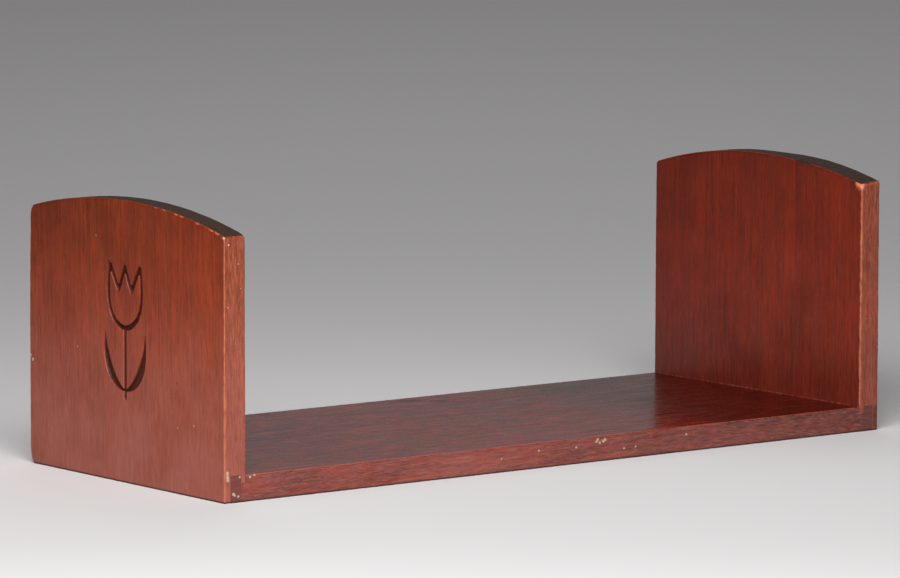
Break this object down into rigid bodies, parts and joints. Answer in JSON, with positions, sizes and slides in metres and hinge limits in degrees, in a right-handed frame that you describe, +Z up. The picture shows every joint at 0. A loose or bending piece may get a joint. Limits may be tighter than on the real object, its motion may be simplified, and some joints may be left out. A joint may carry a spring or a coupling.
{
  "type": "desktop book rack",
  "caption": "Low wooden desktop book rack: a base board between two upright end panels with gently arched tops, lock-jointed and screwed, one panel carved with a tulip.",
  "frame": {"origin": "on the surface that the rack stands on, under the middle of the rack", "axes": "+X along the rack towards the plain right end panel, +Y from the front to the back, +Z up"},
  "size_m": [0.424, 0.17, 0.1416],
  "materials": {
    "panel_wood": "red-brown stained mahogany, satin, vertical grain, worn arrises",
    "board_wood": "dark red-brown stained mahogany, satin, grain along the length",
    "screw_brass": "aged slotted wood screws"
  },
  "bodies": {
    "root": {"base_board": "board_wood", "left_end_panel": "panel_wood", "right_end_panel": "panel_wood", "left_screw_front": "screw_brass", "left_screw_middle": "screw_brass", "left_screw_rear": "screw_brass", "right_screw_front": "screw_brass", "right_screw_middle": "screw_brass", "right_screw_rear": "screw_brass"}
  },
  "joints": []
}
